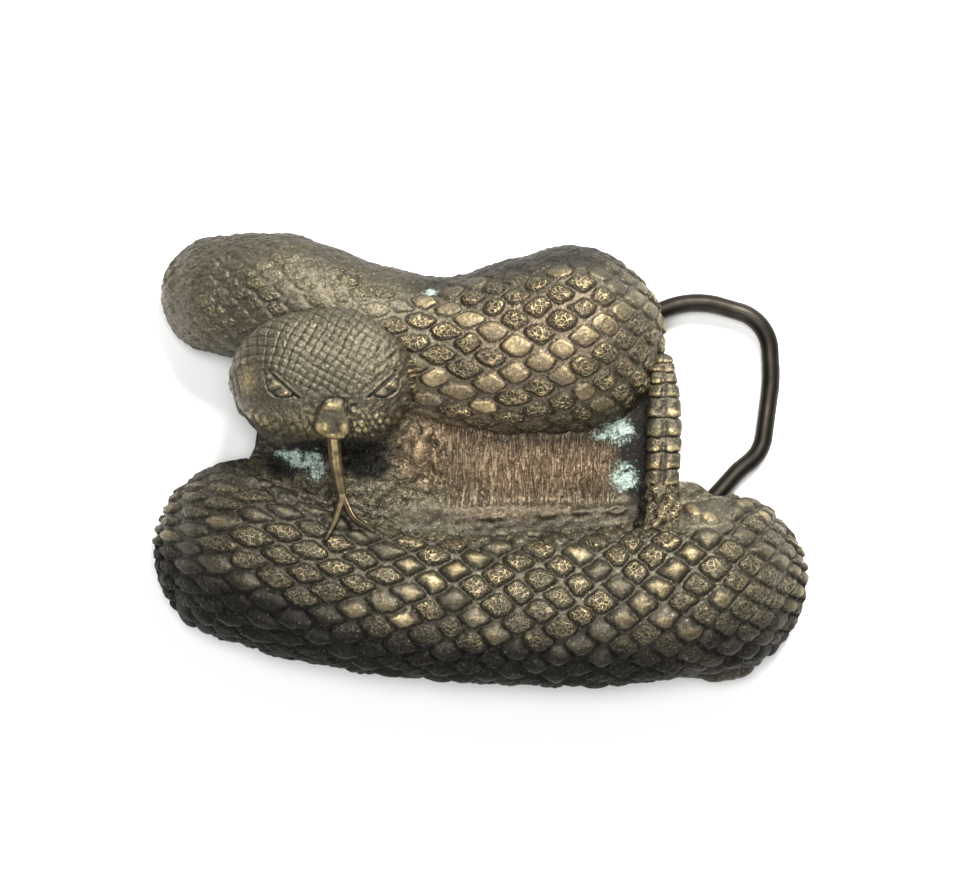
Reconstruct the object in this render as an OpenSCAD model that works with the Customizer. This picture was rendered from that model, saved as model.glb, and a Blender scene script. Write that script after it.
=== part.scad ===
// Belt buckle in the form of a coiled rattlesnake: a hollow-backed bronze casting with a forked tongue,
// a wire bail that swings in two lugs, and a stud for the belt's holes.
// X runs along the buckle, Y up the wearer and Z out of its front. It lies on its back, on Z = 0.

/* [Casting] */
// Rise of the back over the surface at mid length, which follows the wearer's waist
arch_h = 6.5; // [6:0.25:7]
// Height of the coils' upright side, below their widest line
side_h = 3; // [2.5:0.25:3.5]
// Thickness of the cast metal over the hollow of the back
wall = 3; // [2.8:0.1:3.2]
// Height of the lower coil over its widest line, as a share of its half width
lower_crest = 0.8; // [0.75:0.01:0.84]
// Height of the upper coil over its widest line, as a share of its half width
upper_crest = 0.82; // [0.78:0.01:0.86]

/* [Scales] */
// Length of one body scale, along the snake
scale_l = 5.7; // [5.5:0.1:6.2]
// Width of one body scale, across the snake
scale_w = 4.2; // [4:0.1:4.8]
// Height of a body scale over its groove
scale_rise = 0.5; // [0.3:0.05:0.6]
// Flat top of a body scale, as a share of its size
scale_top = 0.62; // [0.5:0.02:0.7]

/* [Head and tail] */
// Height of the widest line of the head over the rim of the back
head_level = 11; // [10.5:0.25:11.5]
// Height of the crown over the head's widest line, as a share of its half width
head_crest = 0.68; // [0.64:0.01:0.72]
// Size of one small scale of the head
head_scale = 3.5; // [3.3:0.1:3.9]
// Segments of the rattle
rattle_count = 9; // [8:1:10]

/* [Belt fittings] */
// Diameter of the bail's wire
wire_d = 2.5; // [2.4:0.1:2.6]
// Running clearance of the wire in its lugs, on the radius
hinge_gap = 0.05; // [0.03:0.01:0.08]
// Outside radius of a lug round the wire
lug_r = 2.6; // [2.55:0.05:2.7]
// Width of a lug along the hinge line
lug_w = 3.2; // [3:0.1:3.3]
// Diameter of the belt stud
stud_d = 4; // [3.6:0.2:4.2]
// Straight length of the belt stud, outside its boss
stud_l = 5.8; // [5:0.2:5.8]
// Angle by which the belt stud leans outwards
stud_lean = 15; // [12:1:18]

/* [Hidden] */

BRONZE = [0.40, 0.34, 0.26];
BRASS = [0.62, 0.52, 0.33];
DARK_WIRE = [0.25, 0.22, 0.20];

// Columns of the tables of round bodies: place along X, place of the middle in Y, half width
AT_X = 0;
AT_Y = 1;
HALF = 2;
lower_coil = [
    [-33.2, -12.9, 12.5],
    [-22.3, -16.9, 11.4],
    [-9.0, -19.6, 10.6],
    [5.7, -20.5, 10.8],
    [20.4, -19.9, 11.1],
    [33.5, -17.3, 11.9],
];
upper_coil = [
    [-36.8, 22.8, 8.3],
    [-28.2, 21.9, 9.4],
    [-17.9, 17.9, 9.8],
    [-6.1, 15.0, 10.3],
    [2.7, 14.9, 12.0],
    [12.2, 16.5, 13.1],
];
head = [[-26.1, 11.8, 9.3], [-18.2, 11.6, 9.3]];
jaw = [[-25.8, 9.8, 8.9], [-18.8, 9.6, 8.9]];
// Columns of the rattle's table: place along Y, place of the middle in X, half width
rattle = [[-3.6, 25.1, 2.15], [1.5, 25.4, 2.3], [8.5, 25.4, 2.1], [14, 25.2, 1.3]];
// Columns of the tables of rods: place along X, Y and Z, radius
RADIUS = 3;
tail = [[25.1, -3.4, 11.4, 2.1], [24.4, -10, 12, 3.3]];
tongue_root = [-20.4, 3.6, 16.7, 0.75];
tongue_fork = [-19.3, -4.9, 16.2, 0.6];
tongue_tips = [[-21.6, -11.6, 18, 0.3], [-14.6, -10.4, 18.2, 0.3]];
// Columns of the plates' tables: place along X, height over the rim of the back
RISE = 1;
ground = [[-31, 7.5], [-20, 8], [-8, 6.5], [8, 5.2], [18, 4.6], [25.4, 3.6]];
ledge = [[-13, 7.6], [-4, 6.9], [8, 6.2], [23, 5.4]];
shelf = [[22.2, 5], [33.2, 5.4]];
// Columns of the bail's table of corners: place along X, place along Y, radius of the bend
BEND = 2;
bail_path = [
    [22, 12.7, 0],
    [22, 19.4, 3],
    [30, 22.4, 12],
    [40.6, 19.4, 6],
    [41.1, 11, 20],
    [39.7, 0.7, 5.5],
    [36.3, -2, 6],
    [30.2, -8.7, 4],
    [22, -11, 3],
    [22, -2.6, 0],
];

// The back: where the arch meets the surface, how square it is, and how far cuts run past it
arch_half = 43;
arch_power = 4;
arch_steps = 14;
over_cut = 1.5;
back_reach = 50;

// Round bodies: how far the skin turns down, the lean of the side, and coarse cells where it is plain.
// The jaw ends above the face of the stud's boss.
edge_deg = 84;
draft = 0.6;
core_cell = 4;
jaw_cell = 4.5;
jaw_drop = 3;
jaw_foot = 5.2;

// The plates between the coils: their place along Y and their thickness
ground_y = [-14, 14];
ledge_y = [-12.5, -6.2];
shelf_y = [-13, -3.4];
ground_plate = 2.6;

// The face: its middle between the eyes, and its small parts' sizes
face = [-20.35, 8.9];
eye_gap = 7.2;
eye_size = [1.5, 1, 1];
brow_from = [2, 2.2];
brow_to = [-2.2, 0.4];
brow_size = [0.8, 0.8, 0.8];
snout_drop = 4.5;
snout_size = [2.3, 1.6, 0.8];
head_rise = 0.3;
tongue_fit = 0.12;
tongue_knot = 0.03;

// The rattle's lobes as shares of its half width and of its pitch, and the tail's lumps
rattle_z = 11.4;
lobe_at = 0.4;
lobe_size = [0.62, 0.64, 0.9];
tail_flat = 0.88;
lump_rows = 3;
lump_turn = 42;
lump_shift = 18;
lump_size = [0.8, 0.8, 0.6];

// Where the bail is hinged, and how far it drops so that its far limb lies on the surface.
// The wire swells a little where it is bent, and its straight lengths run on into the bends.
bend_swell = 0.02;
bend_lap = 0.1;
hinge_x = bail_path[0][AT_X];
hinge_z = lug_r;
limb_x = bail_path[4][AT_X];
bail_tilt = asin((hinge_z - wire_d / 2 - bend_swell) / (limb_x - hinge_x));
lug_ys = [15.3, -5.2];
lug_top = 9;
bore_l = 30;

// The stud's boss and the spigot that is set in it
stud_at = [-26.5, 8, 8.2];
stud_seat = 3;
spigot_d = 3;
boss_r = 4.4;
boss_l = 5;

// Heights of the back's rim over the surface
function arch(x) = max(0, arch_h * (1 - pow(abs(x) / arch_half, arch_power)));
function last(list) = list[len(list) - 1];

// A column of a table, drawn as a smooth curve over X
function row_at(table, x, i = 0) =
    i >= len(table) - 2 || x < table[i + 1][AT_X] ? i : row_at(table, x, i + 1);
function slope(table, i, col) =
    let (a = table[max(0, i - 1)], b = table[min(len(table) - 1, i + 1)])
    (b[col] - a[col]) / (b[AT_X] - a[AT_X]);
function curve(table, x, col) =
    let (
        i = row_at(table, x),
        a = table[i],
        b = table[i + 1],
        w = b[AT_X] - a[AT_X],
        f = (x - a[AT_X]) / w
    )
    (2 * pow(f, 3) - 3 * pow(f, 2) + 1) * a[col]
        + (pow(f, 3) - 2 * pow(f, 2) + f) * w * slope(table, i, col)
        + (3 * pow(f, 2) - 2 * pow(f, 3)) * b[col]
        + (pow(f, 3) - pow(f, 2)) * w * slope(table, i + 1, col);

// A point of a round body's skin. u runs along X and past both ends, where the body rounds off,
// and turn is the angle across it. inset shrinks the body and lift raises one point.
function skin_point(table, level, crest, u, turn, inset = 0, lift = 0) =
    let (
        x = min(max(u, table[0][AT_X]), last(table)[AT_X]),
        half = curve(table, x, HALF) - inset,
        tip = (u - x) / half * 180 / PI,
        lean = atan(curve(table, x + 0.5, AT_Y) - curve(table, x - 0.5, AT_Y)),
        way = [sin(tip) * cos(turn), cos(tip) * sin(turn), cos(tip) * cos(turn)],
        n = way / norm(way),
        out = half + lift,
        px = x + out * (n.x * cos(lean) - n.y * sin(lean)),
        py = curve(table, x, AT_Y) + out * (n.x * sin(lean) + n.y * cos(lean))
    )
    [px, py, arch(px) + level + (crest * (half + inset) - inset + lift) * n.z];

// The side under the skin's edge: step 0 is the widest line and step 1 the lower rim
function side_point(table, level, foot, u, turn, inset, step) =
    let (
        x = min(max(u, table[0][AT_X]), last(table)[AT_X]),
        half = curve(table, x, HALF) - inset,
        tip = (u - x) / half * 180 / PI,
        lean = atan(curve(table, x + 0.5, AT_Y) - curve(table, x - 0.5, AT_Y)),
        way = [sin(tip) * cos(turn), cos(tip) * sin(turn)],
        n = way / norm(way),
        out = half - step * draft,
        px = x + out * (n.x * cos(lean) - n.y * sin(lean)),
        py = curve(table, x, AT_Y) + out * (n.x * sin(lean) + n.y * cos(lean))
    )
    [px, py, arch(px) + (step == 0 ? level : foot)];

// A round body as one closed form: rhombic scales on the skin, an upright side and a bottom
module round_body(table, crest, cell, rise, level = side_h, foot = -over_cut, inset = 0) {
    first = table[0];
    end = last(table);
    reach = edge_deg * PI / 180;
    u0 = first[AT_X] - (first[HALF] - inset) * reach;
    u1 = end[AT_X] + (end[HALF] - inset) * reach;
    n = 2 * round((u1 - u0) / cell[0] / 2);
    m = 2 * round((first[HALF] - inset) * (1 + crest) / 2 * reach / cell[1]);
    function u(i) = u0 + (u1 - u0) * i / n;
    function turn(j) = edge_deg * (2 * j / m - 1);
    function at(i, j) = i * (m + 1) + j;
    function top_at(i, j, k) = (n + 1) * (m + 1) + 4 * at(i, j) + k % 4;
    function inside(i, j) = i > 0 && i < n && j > 0 && j < m;
    grid = [
        for (i = [0:n]) for (j = [0:m]) skin_point(table, level, crest, u(i), turn(j), inset)
    ];
    tops = [
        for (i = [0:n]) for (j = [0:m])
        for (d = [[scale_top, 0], [0, scale_top], [-scale_top, 0], [0, -scale_top]])
        skin_point(table, level, crest, u(i + d.x), turn(j + d.y), inset, rise)
    ];
    border = concat(
        [for (i = [0:n]) [i, 0]],
        [for (j = [1:m]) [n, j]],
        [for (i = [n - 1:-1:0]) [i, m]],
        [for (j = [m - 1:-1:1]) [0, j]]
    );
    count = len(border);
    sides = [
        for (step = [0, 1]) for (b = border)
        side_point(table, level, foot, u(b[0]), turn(b[1]), inset, step)
    ];
    function edge_at(k) = at(border[k % count][0], border[k % count][1]);
    function side_at(step, k) = 5 * (n + 1) * (m + 1) + step * count + k % count;
    scales = [
        for (i = [0:n]) for (j = [0:m]) if ((i + j) % 2 == 0)
        let (ring = [
            i < n ? at(i + 1, j) : -1,
            j < m ? at(i, j + 1) : -1,
            i > 0 ? at(i - 1, j) : -1,
            j > 0 ? at(i, j - 1) : -1,
        ])
        for (f = rise > 0 && inside(i, j)
            ? concat(
                [[top_at(i, j, 0), top_at(i, j, 2), top_at(i, j, 1)]],
                [[top_at(i, j, 0), top_at(i, j, 3), top_at(i, j, 2)]],
                [for (k = [0:3]) [ring[k], top_at(i, j, k), top_at(i, j, k + 1)]],
                [for (k = [0:3]) [ring[k], top_at(i, j, k + 1), ring[(k + 1) % 4]]])
            : [for (k = [0:3]) if (ring[k] >= 0 && ring[(k + 1) % 4] >= 0)
                [at(i, j), ring[(k + 1) % 4], ring[k]]])
        f
    ];
    walls = [
        for (k = [0:count - 1])
        for (f = [
            [edge_at(k), edge_at(k + 1), side_at(0, k)],
            [edge_at(k + 1), side_at(0, k + 1), side_at(0, k)],
            [side_at(0, k), side_at(0, k + 1), side_at(1, k)],
            [side_at(0, k + 1), side_at(1, k + 1), side_at(1, k)],
        ])
        f
    ];
    far = 2 * n + m;
    bottom = concat(
        [for (i = [0:n - 1]) [side_at(1, i), side_at(1, i + 1), side_at(1, far - i - 1)]],
        [for (i = [0:n - 1]) [side_at(1, i), side_at(1, far - i - 1), side_at(1, far - i)]],
        [for (k = [n + 1:n + m - 1]) [side_at(1, n), side_at(1, k), side_at(1, k + 1)]],
        [for (k = [far:far + m - 2]) [side_at(1, 0), side_at(1, k), side_at(1, k + 1)]]
    );
    polyhedron(points = concat(grid, tops, sides), faces = concat(scales, walls, bottom));
}

// A plate that follows the back: its top is given by a table, from one Y to another
module plate(table, ys) {
    steps = 12;
    x0 = table[0][AT_X];
    xs = [for (i = [0:steps]) x0 + (last(table)[AT_X] - x0) * i / steps];
    top = [for (x = xs) [x, arch(x) + curve(table, x, RISE)]];
    translate([0, ys[1], 0])
        rotate([90, 0, 0])
            linear_extrude(ys[1] - ys[0])
                polygon(concat(top, [for (i = [steps:-1:0]) top[i] - [0, ground_plate]]));
}

// Height of the head's dome over a point
function dome_z(x, y) =
    let (
        near = min(max(x, head[0][AT_X]), last(head)[AT_X]),
        away = norm([x - near, y - curve(head, near, AT_Y)]),
        half = head[0][HALF]
    )
    arch(x) + head_level + head_crest * sqrt(max(0, half * half - away * away));

module ball(at, size, sides = 9) {
    translate([at.x, at.y, at.z])
        scale(size)
            sphere(1, $fn = sides);
}

// A small round part set on the head's dome
module on_head(x, y, size) {
    ball([x, y, dome_z(x, y)], size);
}

module head_form() {
    round_body(head, head_crest, [head_scale, head_scale] / 2, head_rise, head_level, head_level - 1);
    round_body(jaw, head_crest / 2, [jaw_cell, jaw_cell], 0, head_level - jaw_drop, jaw_foot);
    for (side = [-1, 1]) {
        x = face.x + side * eye_gap;
        on_head(x, face.y, eye_size);
        hull() {
            on_head(x + side * brow_from.x, face.y + brow_from.y, brow_size);
            on_head(x + side * brow_to.x, face.y + brow_to.y, brow_size);
        }
    }
    on_head(face.x, face.y - snout_drop, snout_size);
}

// Segments of two lobes each
module rattle_form() {
    y0 = rattle[0][AT_X];
    pitch = (last(rattle)[AT_X] - y0) / rattle_count;
    for (i = [0:rattle_count]) for (side = [-1, 1]) {
        y = y0 + i * pitch;
        half = curve(rattle, y, HALF);
        x = curve(rattle, y, AT_Y) + side * half * lobe_at;
        ball([x, y, rattle_z], [half * lobe_size.x, pitch * lobe_size.y, half * lobe_size.z], 6);
    }
}

// The scaly root of the tail, between the rattle and the lower coil
module tail_form() {
    hull()
        for (p = tail)
            ball(p, [1, 1, tail_flat] * p[RADIUS]);
    for (row = [0:lump_rows]) for (side = [-1:1]) {
        f = row / lump_rows;
        p = tail[0] * (1 - f) + tail[1] * f;
        turn = side * lump_turn + (row % 2) * lump_shift;
        out = p[RADIUS] * [sin(turn), 0, tail_flat * cos(turn)];
        ball([p.x, p.y, p.z] + out, lump_size, 6);
    }
}

module casting_form() {
    round_body(lower_coil, lower_crest, [scale_l, scale_w] / 2, scale_rise);
    round_body(upper_coil, upper_crest, [scale_l, scale_w] / 2, scale_rise);
    plate(ground, ground_y);
    plate(ledge, ledge_y);
    plate(shelf, shelf_y);
    head_form();
    rattle_form();
    tail_form();
}

// What the cast back leaves open: the hollows of both coils, and all that lies under the arch
module hollows() {
    for (coil = [[lower_coil, lower_crest], [upper_coil, upper_crest]])
        round_body(coil[0], coil[1], [core_cell, core_cell], 0, side_h, -2 * over_cut, wall);
    xs = [for (i = [-arch_steps:arch_steps]) arch_half * i / arch_steps];
    translate([0, back_reach, 0])
        rotate([90, 0, 0])
            linear_extrude(2 * back_reach)
                polygon(concat(
                    [[-back_reach, 0]],
                    [for (x = xs) [x, arch(x)]],
                    [[back_reach, 0], [back_reach, -3 * over_cut], [-back_reach, -3 * over_cut]]
                ));
}

module lug(y) {
    translate([hinge_x, y, hinge_z]) {
        rotate([90, 0, 0])
            cylinder(r = lug_r, h = lug_w, center = true, $fn = 48);
        translate([-lug_r, -lug_w / 2, 0])
            cube([2 * lug_r, lug_w, lug_top - hinge_z]);
    }
}

// Places what follows along the stud's lean, from the face of its boss outwards
module along_stud() {
    translate(stud_at)
        rotate([0, 180 + stud_lean, 0])
            children();
}

module snake_casting() {
    color(BRONZE)
        difference() {
            union() {
                resize([0, 0, 0])
                    difference() {
                        casting_form();
                        hollows();
                        tongue_room();
                    }
                for (y = lug_ys)
                    lug(y);
                along_stud()
                    translate([0, 0, -boss_l])
                        cylinder(r = boss_r, h = boss_l, $fn = 48);
            }
            translate([hinge_x, bore_l / 2, hinge_z])
                rotate([90, 0, 0])
                    translate([0, 0, -lug_w])
                        cylinder(d = wire_d + 2 * hinge_gap, h = bore_l, $fn = 48);
            along_stud()
                translate([0, 0, -stud_seat])
                    cylinder(d = spigot_d + 2 * hinge_gap, h = stud_seat + 1, $fn = 48);
        }
}

// The wire as straight lengths and true arcs between them
function unit(v) = v / norm(v);
function flat(p) = [p[AT_X], p[AT_Y]];
function corner_cut(i) =
    i == 0 || i == len(bail_path) - 1
        ? 0
        : let (
            a = unit(flat(bail_path[i - 1]) - flat(bail_path[i])),
            b = unit(flat(bail_path[i + 1]) - flat(bail_path[i]))
        )
        bail_path[i][BEND] / tan(acos(a * b) / 2);

module belt_bail() {
    color(DARK_WIRE)
        translate([hinge_x, 0, hinge_z])
            rotate([0, bail_tilt, 0])
                translate([-hinge_x, 0, 0]) {
                    for (i = [0:len(bail_path) - 2]) {
                        a = flat(bail_path[i]);
                        b = flat(bail_path[i + 1]);
                        way = unit(b - a);
                        cut_a = i == 0 ? 0 : corner_cut(i) - bend_lap;
                        cut_b = i == len(bail_path) - 2 ? 0 : corner_cut(i + 1) - bend_lap;
                        start = a + way * cut_a;
                        translate([start.x, start.y, 0])
                            rotate([0, 90, atan2(way.y, way.x)])
                                cylinder(r = wire_d / 2, h = norm(b - a) - cut_a - cut_b, $fn = 48);
                    }
                    for (i = [1:len(bail_path) - 2]) {
                        p = flat(bail_path[i]);
                        a = unit(flat(bail_path[i - 1]) - p);
                        b = unit(flat(bail_path[i + 1]) - p);
                        half_angle = acos(a * b) / 2;
                        middle = p + unit(a + b) * bail_path[i][BEND] / sin(half_angle);
                        sweep = 180 - 2 * half_angle;
                        back = p - middle;
                        translate([middle.x, middle.y, 0])
                            rotate([0, 0, atan2(back.y, back.x) - sweep / 2])
                                rotate_extrude(angle = sweep, $fn = 96)
                                    translate([bail_path[i][BEND], 0])
                                        circle(r = wire_d / 2 + bend_swell, $fn = 48);
                    }
                }
}

// A round rod that tapers from one point to the next
module taper(a, b, extra = 0) {
    way = [b.x - a.x, b.y - a.y, b.z - a.z];
    translate([a.x, a.y, a.z])
        rotate([0, acos(way.z / norm(way)), atan2(way.y, way.x)])
            cylinder(r1 = a[RADIUS] + extra, r2 = b[RADIUS] + extra, h = norm(way), $fn = 16);
}

// The slot in the mouth that holds the tongue
module tongue_room() {
    taper(tongue_root, tongue_fork, tongue_fit);
}

module tongue() {
    color(BRASS)
        resize([0, 0, 0]) {
            taper(tongue_root, tongue_fork);
            ball(tongue_fork, [1, 1, 1] * (tongue_fork[RADIUS] + tongue_knot), 16);
            for (tip = tongue_tips) {
                taper(tongue_fork, tip);
                ball(tip, [1, 1, 1] * (tip[RADIUS] + tongue_knot), 12);
            }
        }
}

// A round stud with a thinner spigot that is set in the boss
module belt_stud() {
    color(BRONZE)
        along_stud() {
            translate([0, 0, hinge_gap - stud_seat])
                cylinder(d = spigot_d, h = stud_seat, $fn = 48);
            cylinder(d = stud_d, h = stud_l, $fn = 48);
            translate([0, 0, stud_l])
                sphere(d = stud_d, $fn = 48);
        }
}

snake_casting();
tongue();
belt_bail();
belt_stud();
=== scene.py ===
"""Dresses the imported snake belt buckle: a patinated bronze casting with carved scales, a worn brass tongue
and a dark wire bail, lying on a pale floor. Shapes are worked out in millimetres and built in metres."""

import math

import bpy
import numpy as np
from mathutils import Matrix, Vector


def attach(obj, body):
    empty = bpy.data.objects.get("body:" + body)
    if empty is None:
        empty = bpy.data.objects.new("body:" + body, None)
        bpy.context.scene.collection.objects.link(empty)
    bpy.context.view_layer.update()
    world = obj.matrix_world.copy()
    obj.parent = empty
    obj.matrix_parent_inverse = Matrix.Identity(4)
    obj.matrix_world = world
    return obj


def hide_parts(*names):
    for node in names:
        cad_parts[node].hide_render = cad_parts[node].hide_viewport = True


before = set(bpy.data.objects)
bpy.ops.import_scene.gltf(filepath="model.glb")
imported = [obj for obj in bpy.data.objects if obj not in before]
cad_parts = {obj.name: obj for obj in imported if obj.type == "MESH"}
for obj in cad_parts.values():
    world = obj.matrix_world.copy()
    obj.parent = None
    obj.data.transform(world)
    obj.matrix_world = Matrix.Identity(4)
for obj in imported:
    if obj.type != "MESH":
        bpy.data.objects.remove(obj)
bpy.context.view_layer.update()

MM = 0.001

# ---- camera
VIEW_CENTRE = (-0.21, 2.24)  # what the middle of the picture shows, in mm
VIEW_WIDTH = 134.4  # what the picture is wide, in mm, at the height of the coils' outline
OUTLINE_HEIGHT = 8.0
CAMERA_HEIGHT = 620.0
SENSOR = 36.0

camera = bpy.data.objects.new("camera", bpy.data.cameras.new("camera"))
bpy.context.scene.collection.objects.link(camera)
bpy.context.scene.camera = camera
camera.location = Vector((*VIEW_CENTRE, CAMERA_HEIGHT)) * MM
camera.data.sensor_width = SENSOR
camera.data.lens = SENSOR * (CAMERA_HEIGHT - OUTLINE_HEIGHT) / VIEW_WIDTH
camera.data.clip_start, camera.data.clip_end = 0.01, 10.0


# ---- the part's own values, as in its source
ARCH_H, ARCH_HALF, ARCH_POWER = 6.5, 43.0, 4  # how the back arches over the belt
SIDE_H, DRAFT = 3.0, 0.6  # the coils' upright sides, and how far they lean in
EDGE = math.radians(84)  # how far the skin turns from the crest to its widest line
WALL, PLATE = 3.0, 2.6  # how thick the coils and the ground are
OVER_CUT = 1.5
# rows of x, y and half width along the middle of each body
AT_Y, HALF = 1, 2
LOWER = [
    [-33.2, -12.9, 12.5],
    [-22.3, -16.9, 11.4],
    [-9.0, -19.6, 10.6],
    [5.7, -20.5, 10.8],
    [20.4, -19.9, 11.1],
    [33.5, -17.3, 11.9],
]
UPPER = [
    [-36.8, 22.8, 8.3],
    [-28.2, 21.9, 9.4],
    [-17.9, 17.9, 9.8],
    [-6.1, 15.0, 10.3],
    [2.7, 14.9, 12.0],
    [12.2, 16.5, 13.1],
]
LOWER_CREST, UPPER_CREST = 0.8, 0.82
HEAD = [[-26.1, 11.8, 9.3], [-18.2, 11.6, 9.3]]
JAW = [[-25.8, 9.8, 8.9], [-18.8, 9.6, 8.9]]
HEAD_LEVEL, HEAD_CREST, JAW_DROP, JAW_FOOT = 11.0, 0.68, 3.0, 5.2
# rows of y, x and half width of the rattle, and of x, y, z and radius of the tail
RATTLE = [[-3.6, 25.1, 2.15], [1.5, 25.4, 2.3], [8.5, 25.4, 2.1], [14, 25.2, 1.3]]
RATTLE_Z = 11.4
TAIL = [[25.1, -3.4, 11.4, 2.1], [24.4, -10, 12, 3.3]]
# rows of x and the height over the arch
GROUND = [[-31, 7.5], [-20, 8], [-8, 6.5], [8, 5.2], [18, 4.6], [25.4, 3.6]]
LEDGE = [[-13, 7.6], [-4, 6.9], [8, 6.2], [23, 5.4]]
SHELF = [[22.2, 5], [33.2, 5.4]]
TONGUE_ROOT, TONGUE_FORK = (-20.4, 3.6, 16.7), (-19.3, -4.9, 16.2)
TONGUE_TIPS = [(-21.6, -11.6, 18), (-14.6, -10.4, 18.2)]
# the two lugs of the bail, and the stud in its boss
HINGE_X, LUG_R, LUG_W, LUG_TOP, LUG_YS = 22.0, 2.6, 3.2, 9.0, (15.3, -5.2)
BORE_R = 1.3
STUD_AT, STUD_LEAN, BOSS_R, BOSS_L = (-26.5, 8, 8.2), math.radians(15), 4.4, 5.0
SPIGOT_R, STUD_SEAT = 1.55, 3.0


def arch(x):
    return np.maximum(0, ARCH_H * (1 - (np.abs(x) / ARCH_HALF) ** ARCH_POWER))


def curve(table, x, column):
    """A column of a table, drawn as a smooth curve over its first column."""
    t = np.array(table, float)
    xs, ys, n = t[:, 0], t[:, column], len(t)
    before, after = np.maximum(np.arange(n) - 1, 0), np.minimum(np.arange(n) + 1, n - 1)
    slopes = (ys[after] - ys[before]) / (xs[after] - xs[before])
    i = np.clip(np.searchsorted(xs, x, side="right") - 1, 0, n - 2)
    w = xs[i + 1] - xs[i]
    f = (x - xs[i]) / w
    bend = w * f * (1 - f) * ((1 - f) * slopes[i] - f * slopes[i + 1])
    return ys[i] + f * f * (3 - 2 * f) * (ys[i + 1] - ys[i]) + bend


def facing(table, u, turn, inset=0.0, upright=1.0):
    """The place on a round body's line that each point belongs to, its half width there, and which way the
    point faces."""
    x = np.clip(u, table[0][0], table[-1][0])
    half = curve(table, x, HALF) - inset
    tip = (u - x) / half
    n = np.stack([np.sin(tip) * np.cos(turn), np.cos(tip) * np.sin(turn), upright * np.cos(tip) * np.cos(turn)])
    return x, half, n / np.linalg.norm(n, axis=0)


def skin(table, level, crest, u, turn, inset=0.0, lift=0.0, drop=0.0):
    """Points of a round body. u runs along it and past both ends, turn is the angle across it, lift stands
    out of it, and drop goes down its upright side, from 0 at the widest line to 1 at the lower rim."""
    x, half, n = facing(table, u, turn, inset, np.where(np.asarray(drop) > 0, 0.0, 1.0))
    lean = np.arctan(curve(table, x + 0.5, AT_Y) - curve(table, x - 0.5, AT_Y))
    out = half + lift - drop * DRAFT
    px = x + out * (n[0] * np.cos(lean) - n[1] * np.sin(lean))
    py = curve(table, x, AT_Y) + out * (n[0] * np.sin(lean) + n[1] * np.cos(lean))
    return px, py, level + (crest * (half + inset) - inset + lift) * n[2]


def unroll(table, u, turn, down):
    """The place along and across a round body, measured over its skin from the crest, so that a pattern
    keeps its size round the ends. down is how far in mm the point lies below the widest line."""
    x, half, n = facing(table, u, turn)
    reach = np.arccos(np.clip(n[2], -1, 1)) + down / half
    flat = np.hypot(n[0], n[1]) + 1e-9
    return x + half * reach * n[0] / flat, reach * n[1] / flat


# ---- small tools
def ease(a, b, x):
    """0 up to a, 1 past b, and a smooth step between."""
    t = np.clip((x - a) / (b - a), 0, 1)
    return t * t * (3 - 2 * t)


def bell(x, width):
    return np.exp(-((x / width) ** 2))


def chance(i, j, salt):
    """A number from 0 to 1 that stays the same for each scale."""
    s = np.sin(i * 12.9898 + j * 78.233 + salt * 37.719) * 43758.5453
    return s - np.floor(s)


def waves(x, y, z=0.0):
    """A function that draws an even, unordered swell over these points, from about -1 to 1. Its period is
    in mm, and each salt gives another swell."""
    count = 22

    def swell(period, salt):
        rng = np.random.default_rng(salt)
        total = np.zeros_like(x)
        for _ in range(count):
            way = rng.normal(size=3)
            way *= 2 * math.pi / (period * rng.uniform(0.75, 1.35)) / np.linalg.norm(way)
            total += np.cos(way[0] * x + way[1] * y + way[2] * z + rng.uniform(0, 2 * math.pi))
        return total / math.sqrt(count)

    return swell


def blots(x, y, spots):
    """How much of the nearest soft oval spot is at each point. spots are (x, y, half x, half y) in mm."""
    found = np.zeros_like(x)
    for sx, sy, rx, ry in spots:
        found = np.maximum(found, np.exp(-(((x - sx) / rx) ** 2 + ((y - sy) / ry) ** 2) ** 1.5))
    return found


def lump(x, y, lumps, power):
    """Soft lumps: x, y, half length and half width in mm, slant in degrees and height, negative for a dip."""
    total = 0 * x
    for lx, ly, rx, ry, slant, height in lumps:
        a = math.radians(slant)
        s = (x - lx) * math.cos(a) + (y - ly) * math.sin(a)
        t = (y - ly) * math.cos(a) - (x - lx) * math.sin(a)
        total = total + height * np.exp(-((np.abs(s / rx) ** 2 + np.abs(t / ry) ** 2) ** power))
    return total


def make_object(name, points, faces, marks=None, smooth=True):
    """A mesh object from points in mm. marks holds four numbers a point for each named surface map."""
    mesh = bpy.data.meshes.new(name)
    mesh.from_pydata((np.asarray(points) * MM).tolist(), [], [list(map(int, f)) for f in faces])
    for key, values in (marks or {}).items():
        layer = mesh.attributes.new(key, "FLOAT_COLOR", "POINT")
        layer.data.foreach_set("color", np.asarray(values, np.float32).ravel())
    mesh.polygons.foreach_set("use_smooth", [smooth] * len(mesh.polygons))
    mesh.update()
    obj = bpy.data.objects.new(name, mesh)
    bpy.context.scene.collection.objects.link(obj)
    return obj


def bake_modifiers(obj):
    graph = bpy.context.evaluated_depsgraph_get()
    mesh = bpy.data.meshes.new_from_object(obj.evaluated_get(graph), depsgraph=graph)
    obj.modifiers.clear()
    obj.data = mesh


def combine(obj, others, operation):
    """Cuts the others out of obj, or fuses them to it, and takes them away."""
    for other in others:
        tool = obj.modifiers.new("combine", "BOOLEAN")
        tool.operation, tool.solver, tool.object = operation, "MANIFOLD", other
    bake_modifiers(obj)
    for other in others:
        bpy.data.objects.remove(other)
    # the points that a cut makes come without maps, as all ones, and get the marks of a plain face
    for key, calm in plain_marks(1, CUT_GRIME).items():
        layer = obj.data.attributes.get(key)
        if layer is not None:
            values = np.empty(4 * len(layer.data), np.float32)
            layer.data.foreach_get("color", values)
            values = values.reshape(-1, 4)
            values[(values == 1).all(axis=1)] = calm[0]
            layer.data.foreach_set("color", values.ravel())


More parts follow.
